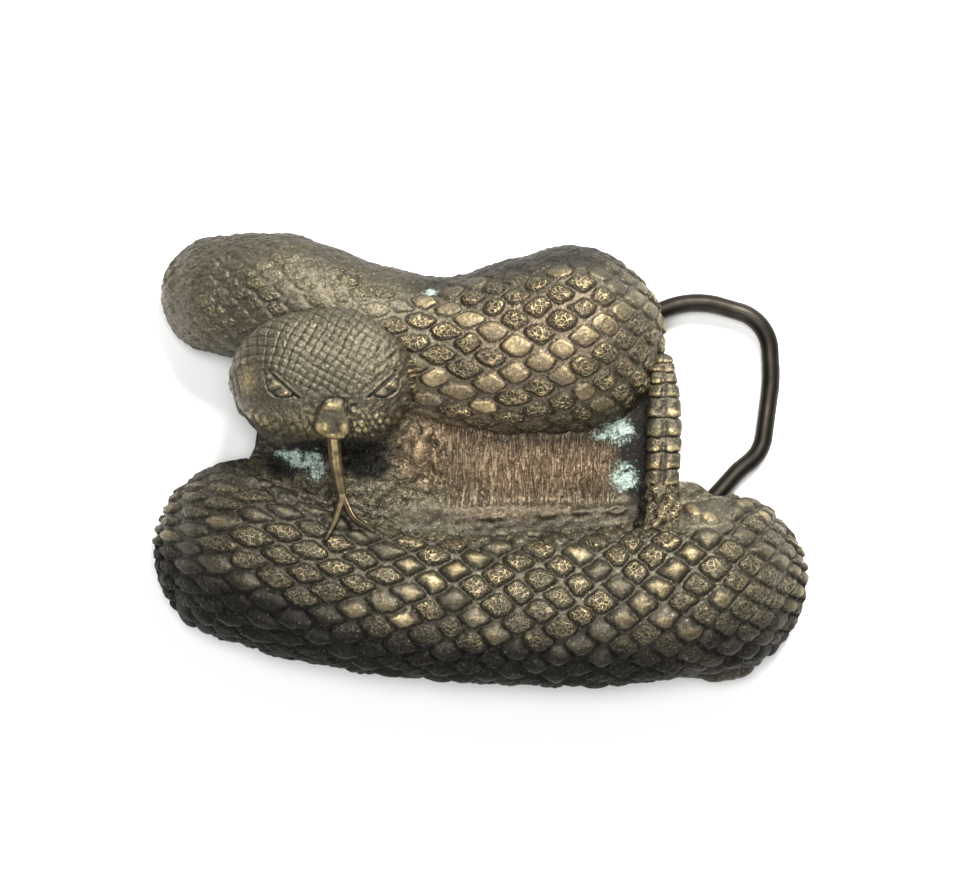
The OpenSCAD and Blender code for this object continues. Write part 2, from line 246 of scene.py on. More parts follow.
def dress(obj, material, body, nodes):
    """Gives a piece its material, its body and the CAD nodes it stands for."""
    obj.data.materials.clear()
    obj.data.materials.append(material)
    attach(obj, body)
    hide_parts(*nodes)


def grid_faces(n, m):
    i, j = np.meshgrid(np.arange(n), np.arange(m), indexing="ij")
    a = i * (m + 1) + j
    return np.stack([a, a + m + 1, a + m + 2, a + 1], -1).reshape(-1, 4)


def round_form(name, table, level, crest, foot, pitch, relief, inset=0.0, rings=None):
    """A closed round body: skin with relief, upright side down to the foot, and a bottom across."""
    # the skin is a grid, and its upright side that many copies of the grid's border, each one lower
    u0 = table[0][0] - (table[0][HALF] - inset) * EDGE
    u1 = table[-1][0] + (table[-1][HALF] - inset) * EDGE
    wide = max(row[HALF] for row in table) - inset
    n, m = int((u1 - u0) / pitch), int(wide * (1 + crest) * EDGE / pitch)
    rings = rings or max(2, int(abs(level - foot) / pitch))
    u, turn = np.meshgrid(np.linspace(u0, u1, n + 1), np.linspace(-EDGE, EDGE, m + 1), indexing="ij")
    grid = np.arange(u.size).reshape(u.shape)
    border = np.concatenate([grid[:, 0], grid[n, 1:], grid[-2::-1, m], grid[0, m - 1 : 0 : -1]])
    count = len(border)
    u, turn = (np.concatenate([part.ravel(), np.tile(part.ravel()[border], rings)]) for part in (u, turn))
    drop = np.concatenate([np.zeros(grid.size), np.repeat(np.arange(1, rings + 1) / rings, count)])
    # the relief is laid over the plain form, measured along its skin
    x, y, _ = skin(table, level, crest, u, turn, inset)
    along, across = unroll(table, u, turn, drop * (level - foot))
    lift, marks = relief(along, across, x, y, drop)
    x, y, rise = skin(table, level, crest, u, turn, inset, lift, drop)
    z = arch(x) + np.where(drop > 0, level - drop * (level - foot), rise)
    faces = grid_faces(n, m).tolist()
    loops = [border] + [grid.size + k * count + np.arange(count) for k in range(rings)]
    for upper, lower in zip(loops, loops[1:]):
        faces += np.stack([upper, lower, np.roll(lower, -1), np.roll(upper, -1)], -1).tolist()
    rim, far = loops[-1].tolist(), 2 * n + m
    faces += [[rim[i + 1], rim[i], rim[far - i], rim[far - i - 1]] for i in range(n)]
    faces.append((rim[far:] + rim[:1])[::-1])
    faces.append(rim[n : n + m + 1][::-1])
    return make_object(name, np.stack([x, y, z], -1), faces, marks)


CUT_GRIME = 0.5  # how dirty the faces of the hollow back are


def plain_marks(count, grime_and_shade=0.35):
    """Marks of a face without carving: plain patina, a little dirt and hardly any rub."""
    return {
        "relief": np.tile([0.5, 0.2, 0.0, 0.0], (count, 1)),
        "tone": np.tile([0.0, 0.15, grime_and_shade, 0.15], (count, 1)),
    }


def plain(u, turn, x, y, drop):
    return np.zeros_like(u), plain_marks(len(u), CUT_GRIME)


def hollow(name, table, crest, wall=WALL):
    """The hollow of a coil's back, as a form to cut with."""
    return round_form(name, table, SIDE_H, crest, -2 * OVER_CUT, 2.0, plain, inset=wall, rings=1)


def clear_coils(obj, *coils):
    """Ends a piece inside the walls of the coils, a little short of their inner faces."""
    cutters = [hollow("cut", table, crest, WALL - 0.5) for table, crest in coils]
    combine(obj, cutters, "DIFFERENCE")


# ---- where the casting is discoloured, and where shade is painted into its corners
# soft oval spots: x, y, half x and half y in mm
VERDIGRIS = [
    (-26.6, 0.5, 1.9, 0.8),
    (-24.6, -0.3, 2.3, 1.2),
    (-22.9, -1.7, 1.2, 1.5),
    (19.0, 3.8, 2.1, 1.8),
    (17.0, 3.2, 1.8, 0.7),
    (19.9, -2.9, 1.8, 1.9),
    (-7.0, 22.8, 0.9, 0.5),
]
# dark patina with painted shade over it: beside the rattle, and under the head along the jaw
DARK_AND_SHADED_CORNERS = [
    (21.6, 0.8, 2.8, 6.4),
    (21.6, -4.5, 1.4, 2.2),
    (-27.5, -1.0, 3.0, 2.2),
    (-15.8, -1.0, 3.6, 2.2),
    (-20.0, 1.2, 9.0, 1.4),
]
RED_GROUND = [
    (7.5, -1.5, 14.0, 4.4),
    (-8.5, 0.5, 4.5, 5.0),
    (-3.0, 4.5, 9.0, 4.0),
    (-1.0, 10.0, 12.0, 5.0),
    (8.0, 14.5, 15.0, 9.0),
    (5.0, -8.0, 15.0, 1.2),
]
RUBBED_NECK = [(-43.6, 22.4, 1.2, 1.6), (-33.8, 27.3, 1.6, 1.0), (-34.2, 23.4, 0.9, 1.4)]
RUBBED_CHEEK = [(-32.0, 10.6, 1.7, 2.7)]


def colour_map(x, y, grime_and_shade, gold):
    """Verdigris, red ground, dirt with painted shade, and rubbed gold with some painted highlight at each point,
    in that order.
    """
    green = blots(x, y, VERDIGRIS) * (0.85 + 0.4 * waves(x, y)(1.6, 11))
    red = blots(x, y, RED_GROUND) * (1.1 - 0.65 * ease(5, 8, y) - 0.65 * ease(-6, -7.5, y))
    dark = np.maximum(grime_and_shade, blots(x, y, DARK_AND_SHADED_CORNERS) * 1.4)
    return np.clip(np.stack([green, red, dark, gold + 0 * x], -1), 0, 1)


def maps(x, y, height, pitted, smooth, grime_and_shade, gold, hatched=0.0):
    """The two maps of a cast surface that its material reads: the relief, and the colours."""
    relief = [np.clip(height, 0, 1), pitted, smooth, hatched]
    return {"relief": np.stack([part + 0 * x for part in relief], -1), "tone": colour_map(x, y, grime_and_shade, gold)}


# ---- scales
# How the rows of scales run over each coil: the place along and across them as a smooth function of
# the place along the coil (in cm) and the turn across it
LOWER_ALONG = [-3.861, 1.657, -0.03, 0.054, -0.031, 0.103, -0.004, 0.018, -0.013, 0.001]
LOWER_ACROSS = [-0.566, 0.219, 2.585, 0.065, -0.171, -0.074, -0.011, 0.069, -0.028, -0.018]
UPPER_ALONG = [-1.194, 1.464, -0.234, 0.067, -0.116, 0.03, -0.007, 0.046, 0.011, -0.001]
UPPER_ACROSS = [0.27, 0.247, 3.219, 0.391, 0.076, 0.125, -0.119, -0.062, 0.001, -0.001]
SKIN_HALF = 11.0  # half width of both coils, about, which makes mm of a turn
NECK = -9.0  # left of this the upper coil's scales are small, worn and even
NECK_PACE, NECK_CLOSER = 1.35, 0.3  # rows a cm there, and how much closer they get with each cm
DIAMOND = 5  # every fifth row, both ways, is of smooth scales, which draws the snake's diamonds
RIM_AT = 0.84  # how far out on a scale its raised rim runs


def scale_rows(u, turn, along, across, neck=-1e3):
    """The row numbers of the scales at each point, both ways, and how fast the place along and across the
    rows changes over the skin, in rows a mm. Left of the neck the rows run on evenly and get closer."""
    right = np.maximum(u, neck)
    back = (right - u) / 10
    c, t = right / 10, turn
    terms = [np.ones_like(c), c, t, c * c, c * t, t * t, c**3, c * c * t, c * t * t, t**3]
    by_c = [0, 1, 0, 2 * c, t, 0, 3 * c * c, 2 * c * t, t * t, 0]
    by_t = [0, 0, 1, 0, c, 2 * t, 0, c * c, 2 * c * t, 3 * t * t]
    a, ac, at = (sum(k * term for k, term in zip(along, row)) for row in (terms, by_c, by_t))
    b, bc, bt = (sum(k * term for k, term in zip(across, row)) for row in (terms, by_c, by_t))
    a = a - NECK_PACE * back - NECK_CLOSER * back**2
    ac = np.where(back > 0, NECK_PACE + 2 * NECK_CLOSER * back, ac)
    bc = np.where(back > 0, 0.0, bc)
    return a + b, a - b, (ac / 10, at / SKIN_HALF, bc / 10, bt / SKIN_HALF)


def out_of_line(row, x, y, turn, broad, narrow):
    """Rows of scales as a hand cuts them. broad and narrow are the salts of their two swells."""
    swell = waves(x, y, 8 * turn)
    return row + 0.05 * swell(5.0, broad) + 0.025 * swell(1.6, narrow)


def scale_relief(e, f, slopes, aspect, fill, flat, shelf, salt, strength):
    """Relief of the carved scales in mm, with its height as a share, how pitted and how smooth it is.
    Each scale is a lens lying along the body. flat says how far it is a low plate with a raised rim
    instead of a pillow, and shelf how far it stands out at its lower side like a roof tile."""
    ce, cf = np.round(e), np.round(f)
    de, df = 2 * (e - ce), 2 * (f - cf)
    luck = chance(ce, cf, salt)
    smooth = ((ce % DIAMOND == 0) | (cf % DIAMOND == 0) | (luck > 0.95)).astype(float)
    # how far along and across the body each point lies from the middle of its scale, in mm
    ac, at, bc, bt = slopes
    area = ac * bt - at * bc
    s = (bt * (de + df) - at * (de - df)) / (4 * area)
    t = (ac * (de - df) - bc * (de + df)) / (4 * area)
    wide = np.sqrt(0.235 * fill / np.abs(area) / aspect)
    wide = wide * (0.96 + 0.12 * (chance(ce, cf, salt + 1) - 0.5))
    # whole is 0 in the middle and 1 at the edge, which is a lens kept inside its cell
    lens = (np.abs(s / wide / aspect) ** 1.6 + np.abs(t / wide) ** 1.75) ** 0.6
    cell = (np.abs(de) ** 5.0 + np.abs(df) ** 5.0) ** 0.2 / 0.96
    whole = (lens**7 + cell**7) ** (1 / 7)
    r = np.minimum(whole, 1)
    pad = ease(0.02, 0.22, 1 - r)
    rim = r - RIM_AT
    # smooth scales are pillows or plates, pitted ones low trays
    pillow = (1 - r**3.0) ** 0.8 + 0.14 * bell(t / wide, 0.4) * (1 - r**2)
    tray = (1 - r**6) ** 0.8
    polished = pillow * 0.74 * (1 - flat) + 0.42 * flat * tray
    height = np.where(smooth > 0.5, polished, (0.60 - 0.2 * flat) * tray)
    height = (height + 0.09 * bell(rim, 0.09) * flat * smooth) * (0.8 + 0.4 * chance(ce, cf, salt + 2))
    tilt = 0.16 * (chance(ce, cf, salt + 3) - 0.5) * s / wide - (0.05 + 0.38 * shelf) * t / wide
    height += pad * (tilt + 0.10 * shelf)
    # the share that the material reads: bright rims and tops, and dark cuts. The cuts are darkest below a scale as
    # painted shade, and a flat smooth scale is lighter on its upper side as painted light
    edge = bell(whole - 1.02, 0.07) * (0.7 - 0.5 * np.tanh(1.6 * t / wide))
    share = height / (0.9 - 0.25 * flat)
    share += flat * smooth * (0.42 * bell(rim, 0.11) + 0.2 * pad * (1 + np.clip(t / wide, -1, 1)))
    share = np.maximum(share, (0.27 + 0.30 * flat) * ease(0.98, 1.12, whole)) - 0.32 * edge
    return (height - 0.06 * edge) * strength, np.clip(share, 0, 1), pad * (1 - smooth), smooth, luck


BEHIND_TAIL = [(29.3, -7.4, 1.2, 0.8, -35, 0.5), (31.6, -8.5, 1.4, 0.75, -20, 0.45)]  # two rubbed bumps


def tail_line(x, y):
    """The thin raised line behind the tail."""
    return bell(x - 27.3 + 0.06 * (y + 6), 0.2)


def lower_relief(u, turn, x, y, drop):
    broad, close = waves(x, y, 5 * turn), waves(x, y, 9 * turn)
    fine = close(0.8, 24)
    e, f, slopes = scale_rows(u, turn, LOWER_ALONG, LOWER_ACROSS)
    e, f = out_of_line(e, x, y, turn, 22, 28), out_of_line(f, x, y, turn, 23, 29)
    # the scales fade out at the upper edge, and behind the tail is a bare patch
    flank = 0.35 + 0.65 * ease(-0.15, -1.1, turn)
    top = ease(0.75, 1.1, turn + 0.3 * ease(-20, -38, u)) * ease(30, 24, u)
    top = np.maximum(top, ease(-10.6, -9.4, y) * ease(36.0, 33.5, x) * ease(20, 24, x))
    bare = ease(-10.8, -9.6, y) * ease(35.5, 33.0, x) * ease(25.5, 27.2, x)
    aspect = 1.35 + 0.3 * ease(0, -25, u)
    lift, height, pitted, smooth, luck = scale_relief(e, f, slopes, aspect, 1.0, 0.0, flank, 31, 1.0 - 0.75 * top)
    lift += 0.09 * waves(x, y, 3 * turn)(6.0, 21) + 0.045 * fine * (0.5 + pitted) + 0.12 * top * close(1.1, 25)
    # light lines between the scales at the right end
    seam = bell(1 - 2 * np.maximum(np.abs(e - np.round(e)), np.abs(f - np.round(f))), 0.07)
    height = height + 0.25 * seam * ease(0, 22, u)
    # the bare patch has two bumps and a raised line
    bumps = lump(x, y, BEHIND_TAIL, 2.2)
    line = tail_line(x, y) * ease(-9.9, -9.0, y)
    lift = lift * (1 - 0.85 * bare) + bumps + 0.28 * line
    calm = 0.55 + bumps + 0.3 * line - 0.4 * bell(bumps - 0.12, 0.08) + 0.08 * fine
    height = height + (calm - height) * np.maximum(bare, line)
    pitted, smooth = pitted * (1 - bare), np.maximum(smooth * (1 - bare), 2 * bumps)
    # a plain lobe stands out low at the right end
    lobe = ease(0.1, 0.55, drop) * np.exp(-(((x - 34.2) / 4.6) ** 4)) * ease(-20, -24, y)
    lift = lift * (1 - 0.9 * lobe) + 2.6 * lobe
    height, pitted = height + (0.7 - height) * lobe, pitted * (1 - lobe)
    # rubbed where hands and belts reach, kept to the upper side, which is partly painted light; painted shade
    # down the flank, and darker to the left
    lit = ease(-1.0, 0.2, turn) * (1 - 0.4 * ease(-16, -34, u))
    gold = (0.6 * ease(0.45, 0.9, luck) - 0.15 + 0.3 * broad(9.0, 26)) * smooth
    gold = (gold + 0.42 + 0.1 * ease(-10, 15, u) - 0.22 * ease(16, 32, u) * (1 - smooth)) * lit + 0.14 + bumps
    grime_and_shade = 0.05 + 1.15 * ease(0.0, -0.95, turn) * (1 - 0.3 * ease(8, 34, u)) + 0.32 * ease(-2, -30, u)
    grime_and_shade = grime_and_shade + 0.12 * broad(5.0, 27) + 0.18 * smooth * ease(0.9, 0.5, luck)
    shown = height * (1 - 0.4 * top * (1 - bare))
    return lift, maps(x, y, shown, pitted * (1 - 0.5 * top), smooth, grime_and_shade * (1 - 0.6 * lobe), gold)


def upper_relief(u, turn, x, y, drop):
    broad, close = waves(x, y, 5 * turn), waves(x, y, 9 * turn)
    fine, rub = close(0.8, 44), broad(9.0, 47)
    e, f, slopes = scale_rows(u, turn, UPPER_ALONG, UPPER_ACROSS, NECK)
    e, f = out_of_line(e, x, y, turn, 41, 48), out_of_line(f, x, y, turn, 42, 49)
    # worn nearly smooth over the neck and along the top, a little at the lower edge
    hump = ease(-16, -6, u)
    worn = np.clip(ease(0.5, 1.15, turn + 0.15 * rub) + (0.74 + 0.2 * rub) * (1 - hump), 0, 0.94)
    worn = np.maximum(worn, 0.25 * ease(-0.8, -1.1, turn))
    shelf = 0.15 * ease(0, -1, turn)
    fill = 0.74 - 0.10 * ease(0.1, -0.6, turn)
    lift, height, pitted, smooth, luck = scale_relief(e, f, slopes, 1.4, fill, 0.85, shelf, 51, 1.0 - 0.92 * worn)
    lift += 0.1 * waves(x, y, 3 * turn)(7.0, 43) + 0.04 * fine * (0.5 + pitted)
    lift += worn * (0.04 * close(2.2, 45) + 0.015 * fine)
    gold = 0.85 + 0.9 * (luck - 0.55) * smooth + 0.25 * broad(8.0, 46) - 0.75 * worn
    gold = gold + 0.5 * blots(x, y, RUBBED_NECK)
    # painted shade along the lower side, which faces down; darker also along the top, on the neck's sides and
    # where the hump is worn
    grime_and_shade = 0.45 * ease(-1.0, -1.4, turn) + 0.3 * ease(0.4, 0.9, turn)
    grime_and_shade = grime_and_shade + 0.2 * (1 - hump) * ease(0.6, 1.3, np.abs(turn)) + 0.6 * worn * hump
    height = height + (0.62 + 0.04 * fine - height) * np.clip(1.1 * worn, 0, 1)
    return lift, maps(x, y, height, pitted * (1 - 0.85 * worn), smooth * (1 - 0.6 * worn), grime_and_shade, gold)


# ---- head
EYES = [  # middle, half length, depth and slant of each eye, and which end is the outer one
    (-27.4, 9.6, 2.5, 1.9, -41, -1),
    (-13.2, 9.6, 2.4, 1.8, 42, 1),
]
SNOUT_PLATE = [(-21.3, 7.8), (-18.8, 7.8), (-18.2, 5.8), (-17.8, 3.9), (-18.6, 2.8), (-20.8, 2.6)]
SNOUT_PLATE += [(-22.9, 3.8), (-22.7, 5.4)]
SNOUT_LOBES = [  # middle, size along X and Y, and how far each lobe is polished and painted bright as a highlight
    (-21.6, 4.2, 0.75, 0.8, 1.0),
    (-18.95, 4.1, 0.6, 0.9, 1.0),
    (-20.0, 3.2, 1.0, 0.4, 0.8),
    (-20.2, 7.1, 1.1, 0.5, 0.9),
]
NOSTRILS = [(-17.5, 7.0, 0.42), (-23.2, 6.9, 0.3)]  # middle and depth
NET_ALONG, NET_ACROSS = 1.12, 1.04  # the tiles of the crown, in mm
HEAD_MIDDLE, HEAD_HALF = -22.15, 9.3


def plate_depth(x, y, corners):
    """How far each point lies inside a plate with rounded corners, in mm. Corners run clockwise."""
    sharp = 3.5
    total = np.zeros_like(x)
    for (ax, ay), (bx, by) in zip(corners, corners[1:] + corners[:1]):
        depth = ((bx - ax) * (ay - y) - (ax - x) * (by - ay)) / math.hypot(bx - ax, by - ay)
        total = total + np.exp(np.clip(-depth * sharp, -40, 40))
    return -np.log(total) / sharp


def off(way, middle):
    """How many degrees a bearing lies off a middle one, the short way round."""
    return (way - middle + 180) % 360 - 180


def head_net(x, y):
    """The crown's net of small tiles: how much tile there is at each point, and a number for each tile.
    Its lines run down to the right over the crown and turn over with the outline on the left."""
    swell = waves(x, y)
    wx, wy = x + 0.10 * swell(3.5, 61), y + 0.10 * swell(3.5, 62)
    turned = np.maximum(0, -25 - wx)
    q = (0.866 * wy + 0.5 * wx + 0.0475 * turned**2) / NET_ACROSS
    p = (0.866 * wx - 0.5 * wy + 0.085 * turned * (wy - 15)) / NET_ALONG
    ip, iq = np.round(p), np.round(q)
    cut = 2 * ((np.abs(p - ip)) ** 5 + (np.abs(q - iq)) ** 5) ** 0.2
    return 1 - ease(0.74, 0.96, cut), chance(ip, iq, 7)


def stamp(*marks):
    """What marks add to the face, which is its relief in mm, its height as a share, which in places is painted
    shade, and its wear, which in places is painted highlight. Each mark is where it lies and how much it adds to
    the three."""
    return sum(np.outer(amounts, where) for where, amounts in marks)


def carve_eye(face, x, y, eye):
    """An almond eye with a folded ball between two lids. Its lids and the folds of its ball are painted bright as
    painted highlights, and the cuts along its lids and at its outer corner dark as painted shade. Also gives where
    the eye is.
    """
    ex, ey, long, deep, slant, outer = eye
    a = math.radians(slant)
    s = ((x - ex) * math.cos(a) + (y - ey) * math.sin(a)) / long * outer
    t = -(x - ex) * math.sin(a) + (y - ey) * math.cos(a) - 0.45
    belly = deep * np.clip(1 - ((s - 0.18) / 1.05) ** 2, 0, 1) ** 0.8
    inside = ease(0.0, 0.22, -t) * ease(0.0, 0.3, belly + t)
    span = ease(1.12, 0.9, np.abs(s + 0.08))
    near = ease(1.35, 1.05, np.abs(s)) * ease(0.9, 0.5, t) * ease(-belly - 1.1, -belly - 0.5, t)
    lid, under = bell(t - 0.3, 0.2) * span, bell(t + belly + 0.25, 0.2) * span
    shade = (bell(t + 0.02, 0.17) + bell(t + belly, 0.17)) * span * (1 - lid)
    corner = bell(s - 1.08, 0.10) * ease(-deep, -0.4, t) * ease(0.6, 0.1, t)
    folds = np.abs(((s * long + 0.45 * t) / 1.75 + 0.1) % 1.0 - 0.4) / 0.6
    ball = inside * np.clip(1 - ((t + belly / 2) / (belly / 2 + 0.05)) ** 2, 0, 1) ** 0.6
    face = face * (1 - near) + stamp(
        (near, (0, 0.55, 0.1)),
        (lid, (0.12, 0.05, 0.3)),
        (under, (0.14, 0.05, 0.3)),
        (shade, (-0.42, -1, 0)),
        (corner, (-0.34, -0.6, 0)),
        (ball, (0.5, 0, 1.1)),
        (ball * folds, (-0.38, 0, -1.1)),
        (inside * (0.45 - folds), (0, 1, 0)),
    )
    return face, near


def carve_cheek(face, x, y):
    """The rubbed place outside the left eye, below a low brow. Also gives where it is."""
    patch = blots(x, y, RUBBED_CHEEK)
    brow = bell(np.hypot((x + 30.6) / 1.15, y - 9.6) - 3.9, 0.3) * ease(8.5, 11.5, y) * ease(-27.5, -30.0, x)
    return face * (1 - patch) + stamp((patch, (-0.1, 0.95, 0.5)), (brow, (0.22, 0.1, 0.3))), patch


def carve_shield(face, x, y):
    """The shield on the snout with its polished lobes and rim, painted bright as painted highlights. Also gives
    where the shield and the lobes are.
    """
    depth = plate_depth(x, y, SNOUT_PLATE)
    plate = ease(-0.35, 0.35, depth)
    lobes = sum(share * bell(np.hypot((x - lx) / rx, (y - ly) / ry), 1.0) for lx, ly, rx, ry, share in SNOUT_LOBES)
    border = bell(depth - 0.15, 0.25)
    face = face * (1 - plate) + stamp(
        (plate, (0.28, 0.66, 0.4)),
        (plate * lobes, (0.4, 0.55, 1.4)),
        (plate * border, (0, 0, 0.5)),
        (plate * bell(depth - 0.2, 0.25), (0, 0.12, 0)),
        (border, (0.08, 0, 0)),
        (bell(depth + 0.30, 0.16), (-0.25, 0, 0)),
        (bell(depth + 0.28, 0.16), (0, -0.7, 0)),
    )
    return face, plate, lobes


def carve_lips(face, x, y, plate):
    """Beads along the lip on the right, lip shields with slanting cuts on the left, and two nostrils."""
    swell = waves(x, y)
    right = ease(-18.4, -17.8, x) * ease(6.6, 5.7, y) * (1 - plate) * ease(-8.5, -10.5, x)
    row = (y - 0.06 * x - 0.3 + 0.16 * swell(2.4, 68)) / 0.9
    place = (x + 0.18 * swell(2.0, 69)) / 0.92 + 0.5 * np.round(row)
    apart = ((row - np.round(row)) ** 2 + (place - np.round(place)) ** 2) / 0.46**2
    beads = np.sqrt(np.clip(1 - apart, 0, 1)) * (0.6 + 0.6 * chance(np.round(place), np.round(row), 9))
    left = ease(-22.6, -23.1, x) * ease(5.9, 5.2, y) * (1 - plate)
    shields = ease(0.1, 0.6, np.abs(np.cos((x + 0.45 * y) * math.pi / 1.1)))
    return face + stamp(
        (right, (-0.05, -0.4, 0)),
        (right * beads, (0.28, 0.6, 0.45)),
        (left, (-0.08, -0.35, 0)),
        (left * shields, (0.22, 0.5, 0)),
        *((bell(np.hypot(x - nx, (y - ny) * 1.3), 0.45), (-deep, -0.9, 0)) for nx, ny, deep in NOSTRILS),
    )


def head_relief(u, turn, x, y, drop):
    # how far out each point lies, in radians from the ridge, and its bearing from the middle
    out = u - HEAD_MIDDLE
    away = np.hypot((out - np.clip(out, -4, 4)) / HEAD_HALF, turn)
    way = np.degrees(np.arctan2(y - 11.6, x + 21.5))
    # the stadium of the source drawn in to an oval that slopes off to the left
    drawn_in = 1.9 * bell(off(way, 140), 34) + 1.5 * bell(off(way, 38), 26) + 0.7 * bell(off(way, -140), 22)
    lift = -ease(0.75, 1.5, away) * drawn_in
    # the net of tiles on the crown
    net, luck = head_net(x, y)
    zone = ease(7.4, 9.2, y + 0.012 * (x + 20.5) ** 2 * np.where(x < -20.5, 0.4, 1.0))
    zone *= ease(1.45, 1.15, away) * (0.25 + 0.75 * ease(-13.0, -18.5, x - 0.35 * (y - 12)))
    relief = 0.15 * net * zone * (0.8 + 0.4 * luck)
    height = 0.62 + zone * (0.55 * net - 0.55) * (0.9 + 0.1 * luck)
    worn = 0.42 * zone * net * luck * ease(-14, -24, x)
    face, near_left = carve_eye(np.stack([relief, height, worn]), x, y, EYES[0])
    face, near_right = carve_eye(face, x, y, EYES[1])
    face, cheek = carve_cheek(face, x, y)
    face, plate, lobes = carve_shield(face, x, y)
    relief, height, worn = carve_lips(face, x, y, plate)
    # rough cheeks, beads on the right rim with painted glints as painted highlights, and the marks of the tool
    rough = (1 - np.maximum(np.maximum(near_left, near_right), plate)) * (1 - zone)
    swell = waves(x, y, 4 * turn)
    glints = ease(1.02, 1.2, away) * bell(off(way, -4), 20) * np.clip(waves(x, y, 9 * turn)(0.8, 67), 0, 2)
    # the lower face is painted lighter, as painted light
    low = ease(8.0, 5.0, y) * (1 - plate)
    relief += (0.02 + 0.09 * rough) * swell(1.2, 63) + 0.02 * swell(0.6, 64) + 0.25 * glints
    height += 0.18 * rough * swell(1.0, 65) + 0.04 * swell(0.6, 66) + 0.32 * low + 0.7 * glints
    worn += 0.2 * low + 2 * glints
    # painted shade down the head's lower outer sides
    grime_and_shade = 0.4 * ease(1.35, 1.5, away) * ease(8, 2, y)
    gold = 0.3 + 0.75 * np.clip(worn, 0, 1) + 0.25 * low * waves(x, y)(3.0, 70)
    # the shield's lobes and the rim's glints are painted brighter still, as painted highlights
    smooth = np.clip(plate + worn, 0, 1) + 2 * plate * lobes + 2 * glints + 0.8 * cheek + low
    return lift + relief, maps(x, y, height, 0.25 * rough, smooth, grime_and_shade, gold)


def jaw_relief(u, turn, x, y, drop):
    folds = np.cos((y + 0.02 * (x + 22) ** 2) * 2 * math.pi / 0.8)
    lift = 0.10 * folds + 0.12 * waves(x, y, 3 * turn)(2.2, 71) + 0.05 * waves(x, y, 9 * turn)(0.8, 72)
    lift = lift - 0.8 * ease(-29, -33, x) * ease(8, 3, y)
    return lift, maps(x, y, 0.6 + 0.25 * folds, pitted=0.2, smooth=0.0, grime_and_shade=0.15, gold=0.2)


# ---- ground, ledge and shelf between the coils
def slab(name, x0, x1, y0, y1, pitch, surface, trim):
    """A plate with relief on its top and a plain underside that follows the back. trim rounds its outline."""
    n, m = int((x1 - x0) / pitch), int((y1 - y0) / pitch)
    x, y = np.meshgrid(np.linspace(x0, x1, n + 1), np.linspace(y0, y1, m + 1), indexing="ij")
    x, y = trim(x, y)
    rise, lift, marks = surface(x.ravel(), y.ravel())
    top = arch(x.ravel()) + rise + lift
    low = arch(x) + rise.reshape(x.shape) - PLATE
    points = [np.stack([x.ravel(), y.ravel(), top], -1)]
    points += [np.stack([x[:, j], y[:, j], low[:, j]], -1) for j in (0, m)]
    marks = {key: np.concatenate([v, np.tile(v.mean(0), (2 * (n + 1), 1))]) for key, v in marks.items()}
    count = x.size
    faces = grid_faces(n, m).tolist()
    for i in range(n):
        a, b = i * (m + 1), (i + 1) * (m + 1)
        c, d = count + i, count + i + 1
        faces.append([a, c, d, b])
        faces.append([a + m, b + m, d + n + 1, c + n + 1])
        faces.append([c, c + n + 1, d + n + 1, d])
    faces.append([count] + list(range(0, m + 1)) + [count + n + 1])
    faces.append([count + n + (n + 1)] + [n * (m + 1) + j for j in range(m, -1, -1)] + [count + n])
    return make_object(name, np.concatenate(points), faces, marks)


def trim_ground(x, y):
    """Spreads the left end into the lower coil, as the fillet of the casting does."""
    spread = -1.8 * ease(3.2, -2.0, y) + 0.7 * ease(2.0, 5.0, y)
    return x + spread * ease(-24, -31, x), y


def trim_shelf(x, y):
    """Rounds the shelf's upper right corner."""
    return x, y - 2.2 * ease(28.5, 33.2, x) ** 1.5 * ease(-9, -3.4, y)


GROUND_LUMPS = [
    (-8.7, 0.7, 2.1, 1.3, 80, 0.75),
    (-6.2, -1.0, 1.6, 0.6, 105, 0.6),
    (-10.9, -2.4, 1.3, 0.7, 20, 0.4),
    (-12.4, 1.2, 1.0, 0.7, -30, 0.3),
    (-7.4, 3.4, 0.9, 0.6, 40, 0.4),
    (-5.6, 1.6, 0.8, 0.5, 60, 0.35),
    (-9.8, 3.0, 0.8, 0.5, 10, 0.35),
    (-8.2, -4.4, 1.2, 0.5, -15, 0.3),
]
LEDGE_LUMPS = [(9.0, -8.0, 1.6, 0.6, 0, 0.3), (1.5, -8.4, 1.8, 0.5, 0, 0.3), (13.5, -7.6, 1.2, 0.5, 8, 0.3)]
LEDGE_RING = [(18.9, -7.3, 1.5, 0.75, 5, 0.5), (18.9, -7.3, 0.8, 0.3, 5, -0.4)]
SHELF_LUMP = [(25.0, -8.0, 1.0, 0.6, 70, 0.4)]


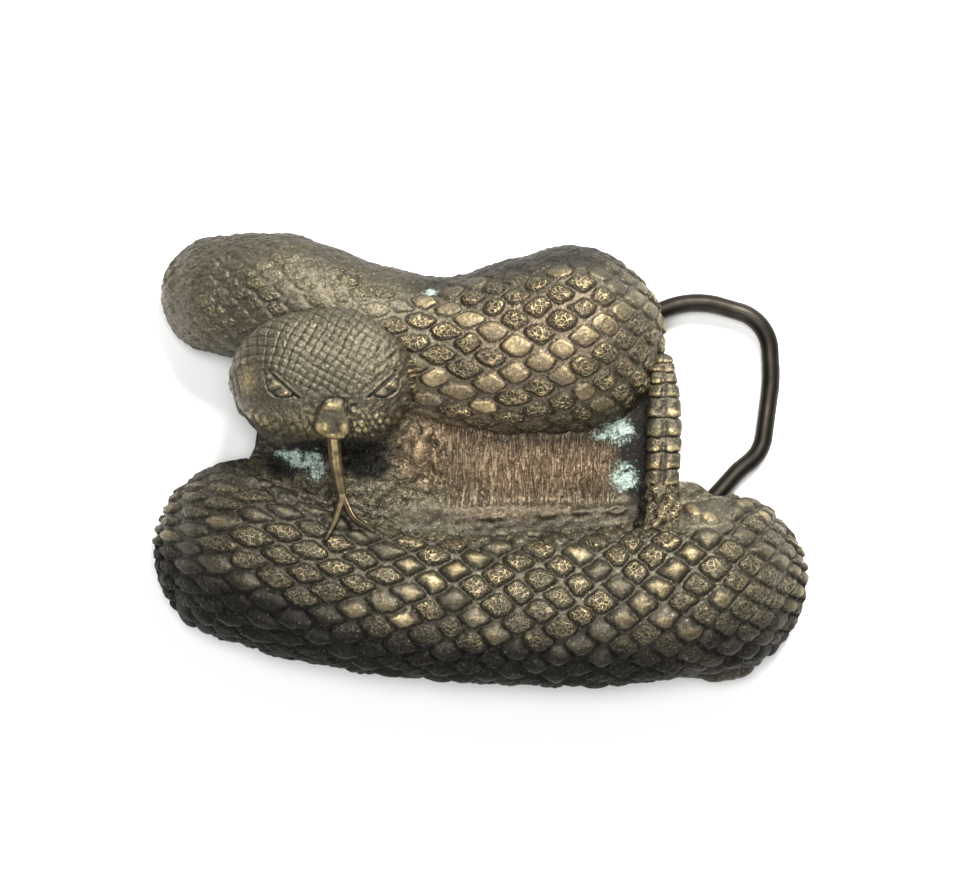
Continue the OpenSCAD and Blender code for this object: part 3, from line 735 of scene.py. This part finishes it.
def ground_surface(x, y):
    swell, along = waves(x, y), waves(x, 0.0)
    wander = 0.25 * along(9.0, 81)
    # the ledge at the foot, the rough ground on the left, and the hatched panel on the right
    band = ease(-5.5, -7.4, y + wander) * ease(-14, -10, x)
    left = ease(-5.0, -6.2, x + 0.12 * y) * (1 - band)
    panel = ease(-6.6, -5.0, x + 0.12 * y + 0.5 * wander) * ease(20.6, 17.5, x + wander) * (1 - band)
    rise = curve(GROUND, x, 1)
    rise = rise + (curve(LEDGE, np.clip(x, LEDGE[0][0], LEDGE[-1][0]), 1) - rise) * band
    lumps = lump(x, y, GROUND_LUMPS, 1.8)
    ring = lump(x, y, LEDGE_RING, 2.0)
    crack = bell(x + 6.1 + 0.15 * y, 0.16) * ease(-3.4, -2.6, y) * ease(-0.6, -1.2, y)
    fold = bell(y + wander + 6.3, 0.22) * ease(-12, -8, x) * np.clip(0.5 + along(4.0, 90), 0, 1)
    bare = left * (1 - np.clip(1.4 * lumps, 0, 1))
    strokes = panel * waves(x, 0.10 * y + 0.03 * x)(0.5, 82)
    coarse = bare * swell(1.0, 84)
    lift = 0.05 * strokes + 0.10 * panel * swell(5.0, 83) + 0.16 * coarse
    lift += bare * (0.16 * swell(2.6, 85) + 0.07 * swell(0.6, 89))
    lift += band * (0.06 * swell(1.2, 86) + 0.08 * swell(3.5, 87))
    lift += 1.2 * lumps + ring + lump(x, y, LEDGE_LUMPS, 2.0) - 0.4 * crack - 0.05 * fold
    height = 0.52 + 0.50 * lumps + 0.3 * ring + 0.1 * strokes + 0.18 * coarse + 0.08 * swell(0.8, 88)
    height -= 0.7 * crack + 0.1 * band - 0.12 * band * swell(0.55, 94) + 0.06 * fold
    height -= 0.4 * bell(lumps - 0.12, 0.07)
    gold = 0.3 + 0.6 * lumps + 0.5 * ring + 0.25 * panel
    # darker on the ledge and the rough left part; painted shade in the corner beside the rattle and under the head
    # on the left
    grime_and_shade = 0.04 + 0.24 * band + 0.10 * left + 0.9 * ease(19.4, 21.2, x) * (1 - 0.6 * band)
    grime_and_shade = grime_and_shade + 0.35 * ease(-17, -24, x)
    return rise, lift, maps(x, y, height, bare * 0.6, np.clip(lumps + ring, 0, 1), grime_and_shade, gold, panel)


def shelf_surface(x, y):
    swell = waves(x, y)
    line = tail_line(x, y)
    lumps = lump(x, y, BEHIND_TAIL, 1.6) + lump(x, y, SHELF_LUMP, 1.5)
    lift = 0.28 * line + lumps + 0.05 * swell(1.2, 91) + 0.08 * swell(3.0, 92)
    height = 0.52 + 0.9 * lumps + 0.3 * line + 0.08 * swell(0.9, 93)
    marks = maps(x, y, height, 0.3 * ease(27, 24, x), 1.5 * lumps, grime_and_shade=0.1, gold=0.3 + 0.9 * lumps)
    return curve(SHELF, x, 1), lift, marks


# ---- rattle and tail
RATTLE_CUTS = [14.4, 13.1, 11.9, 10.2, 8.3, 5.5, 2.8, 0.7, -1.8, -4.0]  # grooves between segments, along Y


def ring_faces(first, sides, after):
    """Faces between two rings of points, the second starting as many points on as told."""
    a = first + np.arange(sides)
    return np.stack([a, np.roll(a, -1), np.roll(a, -1) + after, a + after], -1).tolist()


def tube(name, rows, sides, place):
    """A closed tube: place gives points and maps for a row number from 0 to 1 and an angle round it."""
    s, angle = np.meshgrid(np.linspace(0, 1, rows + 1), np.arange(sides) * 2 * math.pi / sides, indexing="ij")
    x, y, z, marks = place(s.ravel(), angle.ravel())
    faces = [face for i in range(rows) for face in ring_faces(i * sides, sides, sides)]
    faces.append(list(range(sides - 1, -1, -1)))
    faces.append(list(range(rows * sides, (rows + 1) * sides)))
    return make_object(name, np.stack([x, y, z], -1), faces, marks)


def rattle_place(s, angle):
    y = RATTLE_CUTS[0] + (RATTLE_CUTS[-1] - 0.6 - RATTLE_CUTS[0]) * s
    at = np.clip(y, RATTLE[0][0], RATTLE[-1][0])
    cuts = np.array(RATTLE_CUTS)
    k = np.clip(np.searchsorted(-cuts, -y, side="right") - 1, 0, len(cuts) - 2)
    share = np.clip((cuts[k] - y) / (cuts[k] - cuts[k + 1]), 0, 1)
    belly = 1 - np.abs(2 * share - 1) ** 8
    cap = np.sqrt(np.clip(1 - (1 - np.clip(s / 0.035, 0, 1)) ** 2, 0.02, 1))
    c, sn = np.cos(angle), np.sin(angle)
    # squarish rings with a groove along the middle of the front
    r = 1 / (np.abs(c) ** 3.2 + np.abs(sn) ** 3.2) ** (1 / 3.2)
    groove = bell(c + 0.04, 0.17) * (sn > 0)
    out = curve(RATTLE, at, 2) * 1.03 * cap * (0.78 + 0.22 * belly + 0.05 * share)
    x = curve(RATTLE, at, 1) + out * r * c
    z = RATTLE_Z + out * (0.92 * r * sn - 0.12 * groove * belly)
    uneven = waves(x, y, z)(1.6, 103)
    # each segment is lighter on top and darker underneath as painted shade, and dark where segments meet and in
    # the front groove
    height = (0.1 + 0.9 * belly) * (1 - 0.6 * groove) * (0.65 + 0.35 * sn)
    height = height * (0.72 + 0.28 * ease(0.4, 0.7, share)) + 0.12 * uneven
    gold = 0.30 + 0.35 * waves(x, y, z)(2.4, 101) + 0.9 * ease(0.55, 0.85, share)
    grime_and_shade = np.clip(0.75 * ease(0.45, 0.0, belly) + 0.7 * ease(0.1, -0.5, sn) + 0.1, 0, 1)
    x = x + 0.05 * waves(x, y, z)(1.8, 102)
    y = y + 0.10 * waves(x, y, z)(2.6, 104)
    z = z + 0.09 * uneven * (sn > 0)
    marks = maps(x, y, height, 0.15, 1.2, grime_and_shade, gold)
    # the rattle keeps its own painted shade, without the ground's painted corner shade
    marks["tone"][:, 0], marks["tone"][:, 2] = 0, grime_and_shade  # free of the ground's salts and dark corner
    return x, y, z, marks


def tail_place(s, angle):
    (ax, ay, az, ar), (bx, by, bz, br) = TAIL
    f = s * 1.25 - 0.12
    cap = np.sqrt(np.clip(1 - (1 - np.clip(np.minimum(s, 1 - s) / 0.12, 0, 1)) ** 2, 0.01, 1))
    c, sn = np.cos(angle), np.sin(angle)
    x, y, z = ax + (bx - ax) * f, ay + (by - ay) * f, az + (bz - az) * f
    lumps = waves(3 * c, y, 3 * sn)(2.0, 111)
    beads = np.cos(angle * 7 + 0.6) * np.cos((y + 0.25 * c) * math.pi / 0.95)
    out = cap * (ar + (br - ar) * f + 0.34 * np.clip(lumps, -1, 1.4) + 0.20 * beads)
    x, z = x + out * c, z + 0.88 * out * sn
    # the tail's left side is painted dark as painted shade
    shaded_side = 0.9 * ease(-0.55, -0.8, c)
    marks = maps(x, y, 0.5 + 0.35 * lumps + 0.3 * beads, 0.95, 0.0, shaded_side, 0.9)
    marks["tone"][:, 0] = 0
    return x, y, z, marks


def rod(name, path, rub, flat):
    """A smooth tapering rod through points (x, y, z, radius), closed at both ends, with a shallow crease on
    top. rub says how far it is rubbed at its start and end, and flat how high it is for its width."""
    rows, sides = 26, 20
    path = np.array(path, float)
    fine = np.linspace(0, len(path) - 1, rows)
    pts = np.stack([np.interp(fine, np.arange(len(path)), path[:, k]) for k in range(4)], -1)
    for _ in range(3):
        pts[1:-1] = (pts[:-2] + 2 * pts[1:-1] + pts[2:]) / 4
    ways = np.gradient(pts[:, :3], axis=0)
    ways /= np.linalg.norm(ways, axis=1)[:, None]
    across = np.cross(ways, [0, 0, 1.0])
    across /= np.linalg.norm(across, axis=1)[:, None]
    up = np.cross(across, ways)
    angle = np.arange(sides) * 2 * math.pi / sides
    crease = 1 - 0.22 * bell(angle - math.pi / 2, 0.35)
    points = []
    for k, (p, a, b) in enumerate(zip(pts, across, up)):
        radius = p[3] * (0.35 if k in (0, rows - 1) else 1.0) * crease[:, None]
        points.append(p[:3] + radius * (np.cos(angle)[:, None] * a + flat * np.sin(angle)[:, None] * b))
    points = np.concatenate(points)
    faces = [face[:1] + face[:0:-1] for i in range(rows - 1) for face in ring_faces(i * sides, sides, sides)]
    faces.append(list(range(sides)))
    faces.append(list(range(len(points) - 1, len(points) - sides - 1, -1)))
    worn = np.linspace(*rub, rows)[:, None] * (1.15 - 0.9 * bell(angle - math.pi / 2, 0.4))
    tone = np.zeros((len(points), 4))
    tone[:, 3] = worn.ravel()
    return make_object(name, points, faces, {"tone": tone})


# ---- materials
def linear(hex_colour):
    """An sRGB hex value as linear red, green, blue and alpha."""
    parts = [int(hex_colour[i : i + 2], 16) / 255 for i in (1, 3, 5)]
    return [c / 12.92 if c <= 0.04045 else ((c + 0.055) / 1.055) ** 2.4 for c in parts] + [1.0]


def add(tree, kind, settings=None, links=None):
    """Adds a shader node. settings are its own properties or its sockets' values, links its sockets'
    sources, where a node stands for its first output."""
    node = tree.nodes.new("ShaderNode" + kind)
    for key, value in (settings or {}).items():
        if isinstance(key, str) and hasattr(node, key):
            setattr(node, key, value)
        else:
            node.inputs[key].default_value = value
    for key, source in (links or {}).items():
        tree.links.new(source.outputs[0] if hasattr(source, "outputs") else source, node.inputs[key])
    return node


# Settings that several nodes share. Sockets are numbered where that is shorter: a map range's 1 and 2 are
# the ends it reads and 3 and 4 those it gives, and a mix's 6 and 7 are its two colours
TIMES, MINUS, LARGER = ({"operation": name} for name in ("MULTIPLY", "SUBTRACT", "MAXIMUM"))
TIMES_PLUS = {"operation": "MULTIPLY_ADD"}
SOFT_STEP = {"interpolation_type": "SMOOTHSTEP"}
RGB = {"data_type": "RGBA"}


def new_material(name):
    material = bpy.data.materials.new(name)
    material.use_nodes = True
    material.node_tree.nodes.clear()
    return material, material.node_tree


def cast_bronze():
    """Sand-cast bronze with a brown-black patina: dark in the cuts, dull olive brown on the pads, brassy where
    handling has rubbed the high places, red-brown on the ground, and green salts in the corners. Painted shade
    darkens its flanks, undersides and shaded corners, painted highlights brighten parts of the head, and painted
    sparkle flecks its grain."""
    material, t = new_material("cast_bronze_patinated")
    place = add(t, "TexCoord").outputs["Object"]
    relief = add(t, "Attribute", {"attribute_name": "relief"})
    tone = add(t, "Attribute", {"attribute_name": "tone"})
    height, pitted, smooth = add(t, "SeparateColor", links={0: relief}).outputs
    green, red, grime_and_shade = add(t, "SeparateColor", links={0: tone}).outputs
    hatched, gold = relief.outputs["Alpha"], tone.outputs["Alpha"]

    # the sand mould's grain is about 0.25 mm, drawn as coarse as it needs to show; clouds are about 4 mm
    grain = add(t, "TexNoise", {"Scale": 1 / (0.36 * MM), "Detail": 4.0, "Roughness": 0.65}, {"Vector": place})
    cloud = add(t, "TexNoise", {"Scale": 1 / (4.0 * MM), "Detail": 4.0}, {"Vector": place})
    speck = add(t, "MapRange", {1: 0.34, 2: 0.66}, {0: grain})
    # worm-like ridges round pits of about 0.66 mm, punched into the rough scales
    bend = add(t, "TexNoise", {"Scale": 1 / (0.9 * MM), "Detail": 2.0}, {"Vector": place})
    shift = add(t, "VectorMath", {**TIMES_PLUS, 1: (0.6 * MM,) * 3}, {0: bend.outputs["Color"], 2: place})
    pits = add(t, "TexVoronoi", {"feature": "DISTANCE_TO_EDGE", "Scale": 1 / (0.66 * MM)}, {"Vector": shift})
    ridge = add(t, "MapRange", {**SOFT_STEP, 1: 0.19, 2: 0.06}, {0: pits})
    worm = add(t, "Math", TIMES, {0: ridge, 1: pitted})
    pit = add(t, "Math", MINUS, {0: pitted, 1: worm})
    # upright strokes of a tool on the ground, about 0.36 mm apart and 2 mm long
    upright = add(t, "Mapping", {"Scale": (1.0, 0.16, 0.16)}, {"Vector": place})
    strokes = add(t, "TexNoise", {"Scale": 1 / (0.36 * MM), "Detail": 3.0}, {"Vector": upright})
    combed = add(t, "MapRange", {1: 0.55, 2: 0.43}, {0: strokes})
    stroke = add(t, "Math", TIMES, {0: combed, 1: hatched})

    # how far each place is rubbed: the ridges, the tops of the smooth scales, and flecks of the grain, which are
    # painted sparkle as well as rubbed metal
    top = add(t, "MapRange", {1: 0.7, 2: 1.05}, {0: height})
    smooth_top = add(t, "Math", TIMES, {0: top, 1: smooth})
    lit = add(t, "MapRange", {1: 0.3, 2: 0.75, 3: 0.3}, {0: height})
    scatter = add(t, "MapRange", {1: 0.38, 2: 0.54, 3: 0.4}, {0: bend})
    spread = add(t, "Math", TIMES, {0: scatter, 1: worm})
    lines = add(t, "Math", TIMES, {0: lit, 1: spread})
    high = add(t, "Math", LARGER, {0: smooth_top, 1: lines})
    broken = add(t, "MapRange", {1: 0.38, 2: 0.60, 3: 0.25}, {0: cloud})
    thinned = add(t, "Math", TIMES, {0: high, 1: broken})
    flecks = add(t, "MapRange", {1: 0.60, 2: 0.74, 4: 0.5}, {0: grain})
    flecked = add(t, "Math", LARGER, {0: thinned, 1: flecks})
    rubbed = add(t, "Math", {**TIMES, "use_clamp": True}, {0: flecked, 1: gold})

    # colour, from the patina up: each layer covers the one below by its share
    deep = add(t, "MapRange", {**SOFT_STEP, 2: 0.55, 3: 0.75, 4: 0.0}, {0: height})
    pit_dark = add(t, "Math", {**TIMES, 1: 0.75}, {0: pit})
    stroke_dark = add(t, "Math", {**TIMES, 1: 0.65}, {0: stroke})
    clouded = add(t, "MapRange", {1: 0.42, 2: 0.66, 4: 0.5}, {0: cloud})
    crusty = add(t, "Math", {**TIMES_PLUS, 1: 1.6}, {0: grain, 2: green})
    crust = add(t, "MapRange", {1: 1.0, 2: 1.55}, {0: crusty})
    colour = None
    for share, dark, light in (
        (None, "#413d33", "#696250"),  # the patina itself
        (clouded, "#37342c", "#575143"),
        (red, "#4d3e2e", "#837059"),
        (deep, "#1a1711", "#302b21"),
        (pit_dark, "#2b271f", "#484135"),
        (stroke_dark, "#33271c", "#57442f"),
        # rubbed brass, which also carries the painted highlights of the head and the painted sparkle of the flecks
        (rubbed, "#8e7a52", "#d3bf8f"),
        # dirt, and painted shade on the flanks, the undersides and the shaded corners
        (grime_and_shade, "#0e0c09", "#1e1b15"),
        (green, "#222b27", "#465850"),
        (crust, "#5f7066", "#b4c4b8"),
    ):
        layer = add(t, "Mix", {**RGB, 6: linear(dark), 7: linear(light)}, {0: speck}).outputs[2]
        colour = layer if share is None else add(t, "Mix", RGB, {0: share, 6: colour, 7: layer}).outputs[2]

    covered = add(t, "Math", {**TIMES_PLUS, 1: 0.5}, {0: grime_and_shade, 2: crust})
    metal = add(t, "MapRange", {3: 0.72, 4: 0.0}, {0: crust})
    polish = add(t, "MapRange", {3: 0.42, 4: 0.22}, {0: rubbed})
    rough = add(t, "Math", {**TIMES_PLUS, 1: 0.3}, {0: covered, 2: polish})
    fine = add(t, "Math", {**TIMES, 1: 0.55}, {0: grain})
    raised = add(t, "Math", {**TIMES_PLUS, 1: 0.9}, {0: worm, 2: fine})
    form = add(t, "Math", {**TIMES_PLUS, 1: -0.7}, {0: stroke, 2: raised})
    bump = add(t, "Bump", {"Strength": 1.0, "Distance": 0.2 * MM}, {"Height": form})
    links = {"Base Color": colour, "Metallic": metal, "Roughness": rough, "Normal": bump}
    add(t, "OutputMaterial", links={"Surface": add(t, "BsdfPrincipled", links=links)})
    return material


def mottled_metal(name, period, dark, light, roughness, depth, metallic=1.0, tarnish=None):
    """A worked metal whose colour, gloss and surface vary together over patches of about the period in mm.
    Where it has a tarnish, only its rubbed places keep the metal's own colour."""
    material, t = new_material(name)
    place = add(t, "TexCoord").outputs["Object"]
    patches = add(t, "TexNoise", {"Scale": 1 / (period * MM), "Detail": 5.0}, {"Vector": place})
    share = add(t, "MapRange", {1: 0.35, 2: 0.65}, {0: patches})
    colour = add(t, "Mix", {**RGB, 6: linear(dark), 7: linear(light)}, {0: share}).outputs[2]
    if tarnish:
        rub = add(t, "Attribute", {"attribute_name": "tone"}).outputs["Alpha"]
        colour = add(t, "Mix", {**RGB, 6: linear(tarnish)}, {0: rub, 7: colour}).outputs[2]
    rough = add(t, "MapRange", {3: roughness[0], 4: roughness[1]}, {0: share})
    bump = add(t, "Bump", {"Distance": depth * MM, "Strength": 0.8}, {"Height": patches})
    links = {"Base Color": colour, "Roughness": rough, "Normal": bump}
    add(t, "OutputMaterial", links={"Surface": add(t, "BsdfPrincipled", {"Metallic": metallic}, links)})
    return material


def worn_brass():
    """Brass rod, hammered flat and rubbed on top: dull yellow on the stem, tarnished brown on the prongs."""
    name = "brass_hammered_rubbed"
    return mottled_metal(name, 1.0, "#544936", "#978660", (0.46, 0.30), 0.08, metallic=0.9, tarnish="#2e281d")


def drawn_wire():
    """Drawn steel wire, darkened with age to gunmetal: a soft long highlight and faint mottling."""
    return mottled_metal("steel_wire_drawn_darkened", 4.0, "#2a2723", "#3c3832", (0.5, 0.42), 0.02)


def turned_bronze():
    """Turned bronze pin, left dull: an even brown with the faint unevenness of its patina."""
    return mottled_metal("bronze_turned_dull", 1.4, "#4a4030", "#7d6f55", (0.5, 0.36), 0.03)


def paper_floor():
    """White matt paper."""
    material, t = new_material("paper_white_matt")
    surface = add(t, "BsdfPrincipled", {"Base Color": linear("#f4f3f1"), "Roughness": 0.9})
    add(t, "OutputMaterial", links={"Surface": surface})
    return material


# ---- the pieces
COIL_PITCH, HEAD_PITCH, JAW_PITCH, GROUND_PITCH = 0.22, 0.15, 0.3, 0.22  # how fine each mesh is, in mm
bronze = cast_bronze()


def bronze_piece(obj):
    dress(obj, bronze, "casting", ["snake_casting"])


def prism(name, ring, rise):
    """A plain closed solid from a ring of points to its other end, from where they run counterclockwise."""
    n = len(ring)
    points = np.concatenate([ring, np.add(ring, rise)])
    faces = ring_faces(0, n, n) + [list(range(n - 1, -1, -1)), list(range(n, 2 * n))]
    return make_object(name, points, faces, plain_marks(2 * n), smooth=False)


def round_tool(name, radius, length):
    """A cylinder along Z from 0 to its length, in mm, to cut with or to keep."""
    angle = np.arange(64) * 2 * math.pi / 64
    return prism(name, np.stack([radius * np.cos(angle), radius * np.sin(angle), 0 * angle], -1), (0, 0, length))


def round_off(obj, width):
    """Rounds the edges of a piece by a width in mm."""
    bevel = obj.modifiers.new("bevel", "BEVEL")
    bevel.width, bevel.segments, bevel.limit_method = width * MM, 3, "ANGLE"
    bake_modifiers(obj)


def build_coils():
    for name, table, crest, relief in (
        ("lower_coil", LOWER, LOWER_CREST, lower_relief),
        ("upper_coil", UPPER, UPPER_CREST, upper_relief),
    ):
        coil = round_form(name, table, SIDE_H, crest, 0.0, COIL_PITCH, relief)
        combine(coil, [hollow(name + "_hollow", table, crest)], "DIFFERENCE")
        bronze_piece(coil)


def build_head():
    foot = HEAD_LEVEL - 1
    bronze_piece(round_form("head", HEAD, HEAD_LEVEL, HEAD_CREST, foot, HEAD_PITCH, head_relief, rings=4))
    jaw = round_form("jaw", JAW, HEAD_LEVEL - JAW_DROP, HEAD_CREST / 2, JAW_FOOT, JAW_PITCH, jaw_relief)
    clear_coils(jaw, (UPPER, UPPER_CREST))
    bronze_piece(jaw)


def build_ground():
    for name, box, surface, trim in (
        ("ground", (-31, 25.4, -14, 14), ground_surface, trim_ground),
        ("shelf", (22.2, 33.2, -13, -3.4), shelf_surface, trim_shelf),
    ):
        plate = slab(name, *box, GROUND_PITCH, surface, trim)
        clear_coils(plate, (LOWER, LOWER_CREST), (UPPER, UPPER_CREST))
        bronze_piece(plate)


def build_tail():
    bronze_piece(tube("rattle", rows=240, sides=80, place=rattle_place))
    bronze_piece(tube("tail_root", rows=80, sides=72, place=tail_place))


def build_lug(name, y):
    """A lug that the bail turns in, with a round foot."""
    angle = np.linspace(math.pi, 2 * math.pi, 33)
    profile = [(HINGE_X + LUG_R * math.cos(a), LUG_R + LUG_R * math.sin(a)) for a in angle]
    profile += [(HINGE_X + LUG_R, LUG_TOP), (HINGE_X - LUG_R, LUG_TOP)]
    lug = prism(name, [(x, y - LUG_W / 2, z) for x, z in reversed(profile)], (0, LUG_W, 0))
    round_off(lug, 0.35)
    bore = round_tool("bore", BORE_R, LUG_W + 2)
    end = Matrix.Translation(Vector((HINGE_X, y + LUG_W / 2 + 1, LUG_R)) * MM)
    bore.data.transform(end @ Matrix.Rotation(math.radians(90), 4, "X"))
    combine(lug, [bore], "DIFFERENCE")
    bronze_piece(lug)


def build_boss():
    """The boss that the stud is set in."""
    boss = round_tool("stud_boss", BOSS_R, BOSS_L)
    round_off(boss, 0.4)
    lean = Matrix.Translation(Vector(STUD_AT) * MM) @ Matrix.Rotation(math.pi + STUD_LEAN, 4, "Y")
    boss.data.transform(lean @ Matrix.Translation((0, 0, -BOSS_L * MM)))
    socket = round_tool("socket", SPIGOT_R, STUD_SEAT + 1)
    socket.data.transform(lean @ Matrix.Translation((0, 0, -STUD_SEAT * MM)))
    combine(boss, [socket], "DIFFERENCE")
    bronze_piece(boss)


def build_tongue():
    root, fork = Vector(TONGUE_ROOT), Vector(TONGUE_FORK)
    middle = root.lerp(fork, 0.5) + Vector((-0.25, 0, 0.25))
    end = fork + Vector((0, -0.5, 0))
    path = [(*root, 1.05), (*middle, 0.9), (*fork, 0.72), (*end, 0.45)]
    stem = rod("forked_tongue", path, (0.55, 0.65), flat=0.65)
    prongs = []
    for tip, out, drop in zip(TONGUE_TIPS, (0.45, -1.0), (-0.2, -0.6)):
        start = fork + Vector((0, 0.9, 0))
        split = fork + Vector((0.25 * (tip[0] > fork[0]), -0.9, 0))
        half = fork.lerp(Vector(tip), 0.55) + Vector((out, drop, -0.2))
        path = [(*start, 0.5), (*split, 0.58), (*half, 0.48), (*tip, 0.24)]
        prongs.append(rod("prong", path, (0.5, 0.05), flat=0.75))
    combine(stem, prongs, "UNION")
    dress(stem, worn_brass(), "casting", ["tongue"])


build_coils()
build_head()
build_ground()
build_tail()
for number, place in enumerate(LUG_YS):
    build_lug(f"bail_lug_{number}", place)
build_boss()
build_tongue()
for node, material in (("belt_bail", drawn_wire()), ("belt_stud", turned_bronze())):
    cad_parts[node].data.materials.clear()
    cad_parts[node].data.materials.append(material)


# ---- floor and light
def build_floor(half=900.0, below=0.02):
    corners = [(-half, -half, 0), (half, -half, 0), (half, half, 0), (-half, half, 0)]
    floor = make_object("floor", corners, [(0, 1, 2, 3)], smooth=False)
    floor.location.z = -below * MM
    floor.data.materials.append(paper_floor())


def build_light(name, place, size, power, colour):
    """A soft rectangular light, aimed at the middle of the buckle."""
    light = bpy.data.lights.new(name, "AREA")
    light.shape, light.size, light.size_y = "RECTANGLE", size[0] * MM, size[1] * MM
    light.energy, light.color = power, linear(colour)[:3]
    obj = bpy.data.objects.new(name, light)
    obj.location = Vector(place) * MM
    obj.rotation_euler = (-Vector(place)).to_track_quat("-Z", "Y").to_euler()
    bpy.context.scene.collection.objects.link(obj)


build_floor()
build_light("window", (150, 400, 430), (220, 150), 7.6, "#fffcf7")
build_light("ceiling", (-60, 60, 900), (380, 380), 6.6, "#ffffff")
build_light("lamp", (20, -560, 300), (160, 80), 1.1, "#ffffff")
world = bpy.data.worlds.new("studio")
bpy.context.scene.world = world
world.use_nodes = True
world.node_tree.nodes["Background"].inputs["Color"].default_value = linear("#e9edf2")
world.node_tree.nodes["Background"].inputs["Strength"].default_value = 0.30
bpy.context.scene.view_settings.view_transform = "Standard"
